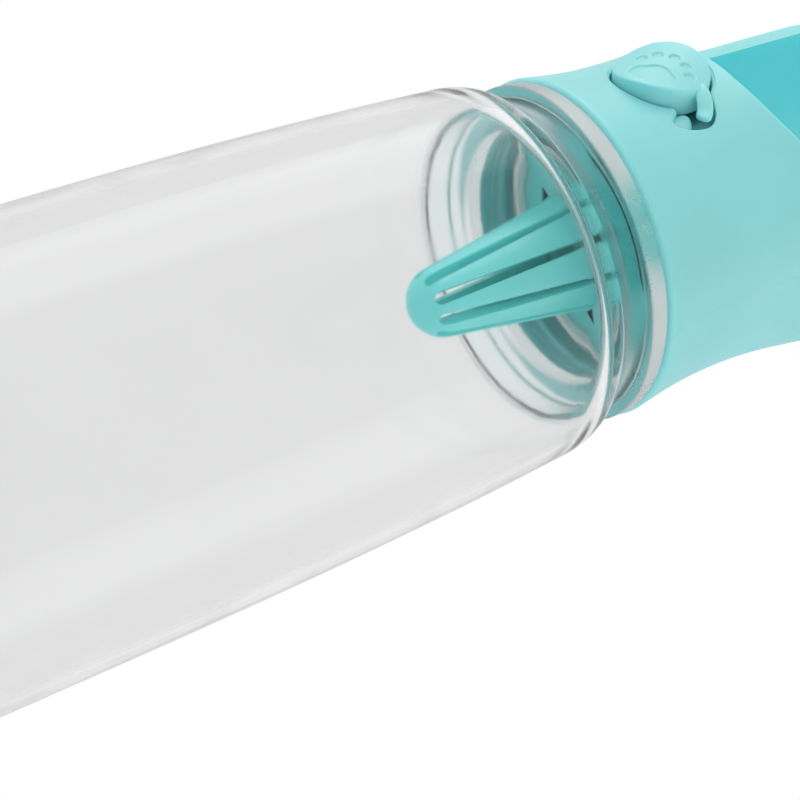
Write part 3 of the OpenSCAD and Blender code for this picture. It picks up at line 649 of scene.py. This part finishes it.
def makeBasket():
    b = basket
    outer, inner, noseZ = basketProfiles()
    piece = lathe("water_basket", joinPaths(refine(outer, 1.6), inner), 192)
    low, high = noseZ - b["slotLow"], rimZ + b["slotTop"]
    half = np.array([b["slotW"] / 2, b["slotTopW"] / 2])
    lowEnd = ellipseArc((0, low), (half[0],) * 2, 180, 360, 12)
    highEnd = ellipseArc((0, high), (half[1],) * 2, 0, 180, 12)
    slot = refine(joinPaths(lowEnd, highEnd, lowEnd[:1]), 0.8)[:-1]
    surface = np.interp(slot[:, 1], outer[:, 1], outer[:, 0])
    depths = [(-3.6, 0), (-b["flare"], 0)]
    depths += [(b["flare"] * (math.sin(t) - 1), b["flare"] * (1 - math.cos(t)))
               for t in np.radians([18, 36, 54, 72, 90])]
    depths += [(2.0, b["flare"])]
    for k in range(b["slots"]):
        a = math.radians(b["slotTurn"] + 360 * k / b["slots"])
        layers = []
        for out, growth in depths:
            c = grow(slot, growth)
            r = surface + out
            layers.append(np.stack([r * math.cos(a) - c[:, 0] * math.sin(a),
                                    r * math.sin(a) + c[:, 0] * math.cos(a), c[:, 1]], -1))
        cutter = gridMesh("slot", np.array(layers), layers[0].mean(0), layers[-1].mean(0))
        combine(piece, cutter, "DIFFERENCE")
    piece.data.transform(Matrix.Translation((0, b["axisY"] * mm, 0)))
    smooth(piece, 38)
    return piece


basketPiece = makeBasket()
print("basket made")


# return spring

spring = {"r": 2.35, "wire": 0.6, "curls": 6, "low": -7.65, "high": -0.35, "ringsPerCurl": 40}


def makeSpring():
    # a circle of wire carried round a helix along Y; its radius is taken in the plane
    # through the axis
    s = spring
    t = np.linspace(0, s["curls"], s["curls"] * s["ringsPerCurl"] + 1)[:, None]
    a, b = 2 * np.pi * t, np.linspace(0, 2 * np.pi, 12, endpoint=False)[None, :]
    out = s["r"] + s["wire"] / 2 * np.cos(b)
    y = s["low"] + (s["high"] - s["low"]) * t / s["curls"] + s["wire"] / 2 * np.sin(b)
    grid = np.stack([out * np.cos(a), y, valveZ - out * np.sin(a)], -1)
    piece = gridMesh("coil_spring", grid, grid[0].mean(0), grid[-1].mean(0))
    smooth(piece, 60)
    return piece


springPiece = makeSpring()
print("spring made")


# materials

finish = {
    "aqua": (0.21, 0.67, 0.685), "aquaDeep": (0.12, 0.68, 0.68), "basket": (0.15, 0.80, 0.78),
    # the pocket colour is painted shade, near black
    "pocket": (0.004, 0.03, 0.03), "clear": (0.87, 0.872, 0.872),
    # the bowl colour is painted bounce light, brighter and more saturated than the aqua
    # the collar colour is painted bounce light from the aqua head on clear plastic
    "collar": (0.84, 0.90, 0.90), "collarSatin": 0.2, "bowl": (0.215, 0.80, 0.83),
    "silicone": (0.80, 0.84, 0.83), "steel": (0.62, 0.63, 0.64), "floor": (0.9, 0.9, 0.9),
}
mouldSeam = {"y": -1.3, "width": 0.22, "height": 0.08}
# ring and layer of the valve body that gets painted shade
pockets = {"radii": (13.2, 17.7), "heights": (ringZ + 0.2, ringZ + 1.4)}
# zone of the trough's inside that is polished and gets painted bounce light
bowlPolishAndBounceZone = {"depth": 1.2, "behindLip": 0.35}
optics = {
    "clear": {"IOR": 1.24, "Transmission Weight": 1.0},
    "plastic": {"IOR": 2.0, "Subsurface Weight": 0.45, "Subsurface Scale": 1.0,
                "Subsurface Radius": (0.0009, 0.0026, 0.0028)},
    "silicone": {"IOR": 1.42, "Subsurface Weight": 0.2, "Subsurface Scale": 1.0,
                 "Subsurface Radius": (0.0015, 0.0014, 0.0013)},
}


def newMaterial(name):
    material = bpy.data.materials.new(name)
    material.use_nodes = True
    tree = material.node_tree
    return material, tree, tree.nodes["Principled BSDF"]


def add(tree, kind, **values):
    # a new node with its settings and unlinked inputs by name
    node = tree.nodes.new(kind)
    for key, value in values.items():
        if hasattr(node, key):
            setattr(node, key, value)
        else:
            node.inputs[key].default_value = value
    return node


def noise(tree, scale, detail=3.0, stretch=None):
    # noise on the piece's own coordinates; scale counts features in a metre, and stretch
    # multiplies X, Y and Z first
    place = add(tree, "ShaderNodeTexCoord").outputs["Object"]
    node = add(tree, "ShaderNodeTexNoise", Scale=scale, Detail=detail)
    if stretch:
        mapping = add(tree, "ShaderNodeMapping")
        mapping.inputs["Scale"].default_value = stretch
        tree.links.new(place, mapping.inputs["Vector"])
        place = mapping.outputs["Vector"]
    tree.links.new(place, node.inputs["Vector"])
    return node


def axesOf(tree):
    # X, Y and Z of the piece's own coordinates
    place = add(tree, "ShaderNodeTexCoord")
    axes = add(tree, "ShaderNodeSeparateXYZ")
    tree.links.new(place.outputs["Object"], axes.inputs["Vector"])
    return axes.outputs


def within(tree, source, low, high):
    # 1 where the source lies between low and high
    node = add(tree, "ShaderNodeMath", operation="COMPARE")
    node.inputs[1].default_value, node.inputs[2].default_value = (low + high) / 2, (high - low) / 2
    tree.links.new(source, node.inputs[0])
    return node.outputs[0]


def compute(tree, operation, a, b):
    # one step of arithmetic; each of a and b is a number or another node's output
    node = add(tree, "ShaderNodeMath", operation=operation)
    for socket, value in zip(node.inputs, (a, b)):
        if isinstance(value, (int, float)):
            socket.default_value = value
        else:
            tree.links.new(value, socket)
    return node.outputs[0]


def mixShaders(tree, factor, first, second):
    # the first shader where the factor is 0, the second where it is 1
    node = add(tree, "ShaderNodeMixShader")
    for socket, source in zip(node.inputs, (factor, first, second)):
        tree.links.new(source, socket)
    return node.outputs["Shader"]


def paintOver(tree, shader, mask, colour):
    # the base colour becomes the given one where the mask is 1
    mix = add(tree, "ShaderNodeMix", data_type="RGBA")
    mix.inputs["B"].default_value = (*colour, 1)
    tree.links.new(shader.inputs["Base Color"].links[0].from_socket, mix.inputs["A"])
    tree.links.new(mask, mix.inputs["Factor"])
    tree.links.new(mix.outputs["Result"], shader.inputs["Base Color"])


def spreadOver(tree, source, start, end, low, high, easing="LINEAR"):
    # the source's stretch from start to end spread over low to high
    node = add(tree, "ShaderNodeMapRange", interpolation_type=easing)
    for socket, value in zip(("From Min", "From Max", "To Min", "To Max"), (start, end, low, high)):
        node.inputs[socket].default_value = value
    tree.links.new(source, node.inputs["Value"])
    return node.outputs["Result"]


def between(tree, source, low, high):
    # a noise's middle part, 0.35 to 0.65, spread over low to high
    return spreadOver(tree, source, 0.35, 0.65, low, high)


def tint(tree, shader, source, colour, low, high=1.0):
    # the base colour varies with the source from low to high times the given colour
    node = add(tree, "ShaderNodeMix", data_type="RGBA")
    for socket, share in (("A", low), ("B", high)):
        node.inputs[socket].default_value = (*(min(1, c * share) for c in colour), 1)
    tree.links.new(source, node.inputs["Factor"])
    tree.links.new(node.outputs["Result"], shader.inputs["Base Color"])


def setInputs(shader, values):
    for name, value in values.items():
        shader.inputs[name].default_value = value


def bump(tree, shader, height, strength, distance):
    # a bump on top of those the shader has already
    node = add(tree, "ShaderNodeBump", Strength=strength, Distance=distance)
    tree.links.new(height, node.inputs["Height"])
    if shader.inputs["Normal"].is_linked:
        tree.links.new(shader.inputs["Normal"].links[0].from_socket, node.inputs["Normal"])
    tree.links.new(node.outputs["Normal"], shader.inputs["Normal"])


def mouldedPlastic(name, colour, roughness, seam=None):
    # satin moulded plastic: faint flow clouds in the colour, fine grain and soft waviness
    material, tree, shader = newMaterial(name)
    clouds = between(tree, noise(tree, 45, 4).outputs["Fac"], 0, 1)
    tint(tree, shader, clouds, colour, 0.965, 1.03)
    handled = between(tree, noise(tree, 160, 5).outputs["Fac"], roughness - 0.05, roughness + 0.06)
    tree.links.new(handled, shader.inputs["Roughness"])
    bump(tree, shader, noise(tree, 5200, 2).outputs["Fac"], 0.10, 0.00006)
    bump(tree, shader, noise(tree, 70, 2).outputs["Fac"], 0.10, 0.0008)
    if seam:
        # parting line of the mould, where the skin crosses one plane
        behindPlane = compute(tree, "ADD", axesOf(tree)["Y"], -seam["y"] * mm)
        away = compute(tree, "ABSOLUTE", behindPlane, 0)
        line = spreadOver(tree, away, 0, seam["width"] * mm, 1, 0, "SMOOTHSTEP")
        bump(tree, shader, line, 0.5, seam["height"] * mm)
    setInputs(shader, optics["plastic"])
    return material


def paintShadeInPockets(material, radii, heights):
    # what lies between two radii and two heights is painted near black, a painted shade as dark as
    # a deep opening
    tree = material.node_tree
    axes = axesOf(tree)
    flat = add(tree, "ShaderNodeCombineXYZ")
    tree.links.new(axes["X"], flat.inputs["X"])
    tree.links.new(axes["Y"], flat.inputs["Y"])
    radius = add(tree, "ShaderNodeVectorMath", operation="LENGTH")
    tree.links.new(flat.outputs["Vector"], radius.inputs[0])
    inRing = within(tree, radius.outputs["Value"], *(r * mm for r in radii))
    inLayer = within(tree, axes["Z"], *(z * mm for z in heights))
    paintOver(tree, tree.nodes["Principled BSDF"], compute(tree, "MULTIPLY", inRing, inLayer),
              finish["pocket"])


def clearPlastic():
    # blown clear plastic: a little grey, with long soft ripples along its height. Light for
    # what is inside passes straight through.
    material, tree, shader = newMaterial("clear plastic")
    clouds = between(tree, noise(tree, 24, 3).outputs["Fac"], 0, 1)
    tint(tree, shader, clouds, finish["clear"], 0.985)
    setInputs(shader, optics["clear"])
    through = add(tree, "ShaderNodeBsdfTransparent", Color=(0.98, 0.98, 0.98, 1))
    rays = add(tree, "ShaderNodeLightPath").outputs
    surface = shader.outputs["BSDF"]
    for kind in ("Is Shadow Ray", "Is Diffuse Ray"):
        surface = mixShaders(tree, rays[kind], surface, through.outputs["BSDF"])
    tree.links.new(surface, tree.nodes["Material Output"].inputs["Surface"])
    haze = between(tree, noise(tree, 120, 4).outputs["Fac"], 0.06, 0.12)
    # the neck's groove and flange are satin, and their colour is painted a little towards the
    # head's aqua, as painted bounce light from the head
    collar = within(tree, axesOf(tree)["Z"], (shoulderZ - 0.6) * mm, (flangeTop + 0.2) * mm)
    satin = compute(tree, "ADD", compute(tree, "MULTIPLY", collar, finish["collarSatin"]), haze)
    tree.links.new(satin, shader.inputs["Roughness"])
    # painted bounce light: the collar's clear plastic is tinted towards the head's aqua
    paintOver(tree, shader, collar, finish["collar"])
    ripples = noise(tree, 95, 2, stretch=(1, 1, 0.12))
    bump(tree, shader, ripples.outputs["Fac"], 0.15, 0.0006)
    return material


def softSilicone():
    # matt silicone, a little dusty, that lets some light in
    material, tree, shader = newMaterial("silicone")
    clouds = between(tree, noise(tree, 200, 3).outputs["Fac"], 0, 1)
    tint(tree, shader, clouds, finish["silicone"], 0.95)
    dusty = between(tree, noise(tree, 900, 4).outputs["Fac"], 0.42, 0.6)
    tree.links.new(dusty, shader.inputs["Roughness"])
    bump(tree, shader, noise(tree, 4000, 2).outputs["Fac"], 0.15, 0.00005)
    setInputs(shader, optics["silicone"])
    return material


def drawnSteel():
    # bright steel with fine drawing lines along Y
    material, tree, shader = newMaterial("stainless steel")
    lines = noise(tree, 9000, 2, stretch=(1, 0.06, 1))
    shade = between(tree, lines.outputs["Fac"], 0, 1)
    tint(tree, shader, shade, finish["steel"], 0.88)
    tree.links.new(between(tree, lines.outputs["Fac"], 0.18, 0.34), shader.inputs["Roughness"])
    bump(tree, shader, lines.outputs["Fac"], 0.12, 0.00002)
    shader.inputs["Metallic"].default_value = 1.0
    return material


def dress(piece, material):
    piece.data.materials.clear()
    piece.data.materials.append(material)


def dressBowlPolishAndBounce(piece, material):
    # the trough's inside, well within the outer skin and behind the lip, is polished, and its
    # colour is painted brighter and more saturated: painted bounce light from the aqua walls
    # lighting each other
    piece.data.materials.append(material)
    polygons = piece.data.polygons
    centre = np.empty(len(polygons) * 3)
    polygons.foreach_get("center", centre)
    x, y, z = centre.reshape(-1, 3).T / mm
    outline = headOutline()
    skin = np.interp(z, outline[:, 1], outline[:, 0])
    lipY, lipZ = lipCurve().T
    behindLip = y > np.interp(z, lipZ, lipY) + bowlPolishAndBounceZone["behindLip"]
    inside = (np.hypot(x, y) < skin - bowlPolishAndBounceZone["depth"]) & (z > floorZ - 0.1) & behindLip
    polygons.foreach_set("material_index", inside.astype(np.int32))


headPlastic = mouldedPlastic("aqua head plastic", finish["aqua"], 0.44, mouldSeam)
# polished copy of the aqua plastic whose colour is painted bounce light
bowlPolishedBounceLit = mouldedPlastic("aqua bowl plastic with painted bounce light", finish["bowl"], 0.36)
buttonPlastic = mouldedPlastic("aqua button plastic", finish["aqua"], 0.42)
basketPlastic = mouldedPlastic("aqua basket plastic", finish["basket"], 0.40)
valvePlastic = mouldedPlastic("aqua valve plastic", finish["aquaDeep"], 0.44)
# painted shade: the valve body's pockets are painted near black
paintShadeInPockets(valvePlastic, pockets["radii"], pockets["heights"])
silicone, steel = softSilicone(), drawnSteel()
dress(bottlePiece, clearPlastic())
dress(headPiece, headPlastic)
dressBowlPolishAndBounce(headPiece, bowlPolishedBounceLit)
dress(buttonPiece, buttonPlastic)
dress(basketPiece, basketPlastic)
dress(springPiece, steel)
for name in ("neck_gasket", "bulkhead_seal", "chamber_cap_seal", "outlet_grommet", "basket_seal",
             "front_stem_seal", "rear_stem_seal", "valve_plug"):
    dress(nodes[name], silicone)
for name in ("valve_body", "chamber_cap", "valve_stem"):
    dress(nodes[name], valvePlastic)
for name in ("plug_washer", "plug_screw"):
    dress(nodes[name], steel)
print("materials made")


# what each piece rides on and stands for

for piece, body, node, slotName in (
        (bottlePiece, "bottle", "bottle", "clear_plastic"),
        (headPiece, "head", "head_shell", "aqua_plastic"),
        (buttonPiece, "button", "button_cap", "aqua_plastic"),
        (basketPiece, "basket", "filter_basket", "basket_plastic"),
        (springPiece, "head", "return_spring", "stainless")):
    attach(piece, body)
    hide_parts(node)
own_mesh(springPiece)


# floor, light and camera

studio = {
    "floorHalf": 40.0, "floorFades": (0.2, 0.9), "sky": 0.86, "target": (0, 0, 0.13),
    "keyPlace": (-0.65, -0.95, 0.62), "keyPower": 3.8, "keySize": 0.9,
    "fillPlace": (0.9, 0.5, 0.5), "fillPower": 1.3, "fillSize": 0.9,
}
view = {"azimuth": 45.56, "elevation": -24.33, "roll": -68.47, "distance": 0.27396, "lens": 73.7,
        "aim": (0.0099348, 0.010131, 0.108822)}


def makeFloor():
    # a pale sheet whose back is clear, because the camera looks up from below it. Away from
    # the bottle the camera sees it fade to plain white.
    half = studio["floorHalf"]
    mesh = bpy.data.meshes.new("floor")
    mesh.from_pydata([(-half, -half, 0), (half, -half, 0), (half, half, 0), (-half, half, 0)],
                     [], [(0, 1, 2, 3)])
    floor = bpy.data.objects.new("floor", mesh)
    bpy.context.scene.collection.objects.link(floor)
    material, tree, shader = newMaterial("floor")
    shader.inputs["Base Color"].default_value = (*finish["floor"], 1)
    shader.inputs["Roughness"].default_value = 0.7
    white = add(tree, "ShaderNodeEmission", Color=(1, 1, 1, 1), Strength=1.0)
    place = add(tree, "ShaderNodeTexCoord")
    away = add(tree, "ShaderNodeVectorMath", operation="LENGTH")
    tree.links.new(place.outputs["Object"], away.inputs[0])
    fade = spreadOver(tree, away.outputs["Value"], *studio["floorFades"], 0, 1, "SMOOTHSTEP")
    rays = add(tree, "ShaderNodeLightPath").outputs
    seen = compute(tree, "MULTIPLY", fade, rays["Is Camera Ray"])
    faded = mixShaders(tree, seen, shader.outputs["BSDF"], white.outputs["Emission"])
    clear = add(tree, "ShaderNodeBsdfTransparent")
    side = add(tree, "ShaderNodeNewGeometry")
    surface = mixShaders(tree, side.outputs["Backfacing"], faded, clear.outputs["BSDF"])
    tree.links.new(surface, tree.nodes["Material Output"].inputs["Surface"])
    dress(floor, material)


def makeSky():
    # even pale light; the camera, also through clear plastic, sees plain white
    world = bpy.data.worlds.new("studio")
    world.use_nodes = True
    tree = world.node_tree
    light = tree.nodes["Background"]
    light.inputs["Color"].default_value = (1, 1, 1, 1)
    light.inputs["Strength"].default_value = studio["sky"]
    white = add(tree, "ShaderNodeBackground", Color=(1, 1, 1, 1), Strength=1.0)
    rays = add(tree, "ShaderNodeLightPath").outputs
    seen = compute(tree, "MAXIMUM", rays["Is Camera Ray"], rays["Is Transmission Ray"])
    surface = mixShaders(tree, seen, light.outputs[0], white.outputs[0])
    tree.links.new(surface, tree.nodes["World Output"].inputs["Surface"])
    bpy.context.scene.world = world


def areaLight(name):
    # a square lamp that shines at the studio's target
    lamp = bpy.data.lights.new(name, "AREA")
    lamp.shape, lamp.energy = "RECTANGLE", studio[name + "Power"]
    lamp.size = lamp.size_y = studio[name + "Size"]
    holder = bpy.data.objects.new(name, lamp)
    holder.location = studio[name + "Place"]
    ray = Vector(studio["target"]) - Vector(studio[name + "Place"])
    holder.rotation_euler = ray.to_track_quat("-Z", "Y").to_euler()
    bpy.context.scene.collection.objects.link(holder)


def makeCamera():
    azimuth, elevation, roll = (math.radians(view[k]) for k in ("azimuth", "elevation", "roll"))
    back = Vector((math.sin(azimuth) * math.cos(elevation),
                   -math.cos(azimuth) * math.cos(elevation), math.sin(elevation)))
    forward = -back
    level = (Vector((0, 0, 1)) - forward * forward.z).normalized()
    up = level * math.cos(roll) + forward.cross(level) * math.sin(roll)
    lens = bpy.data.cameras.new("camera")
    lens.lens, lens.clip_start = view["lens"], 0.01
    camera = bpy.data.objects.new("camera", lens)
    place = Matrix((forward.cross(up), up, back)).transposed().to_4x4()
    place.translation = Vector(view["aim"]) + back * view["distance"]
    camera.matrix_world = place
    bpy.context.scene.collection.objects.link(camera)
    bpy.context.scene.camera = camera


makeFloor()
makeSky()
areaLight("key")
areaLight("fill")
makeCamera()
bpy.context.scene.view_settings.view_transform = "Standard"
print("studio made")
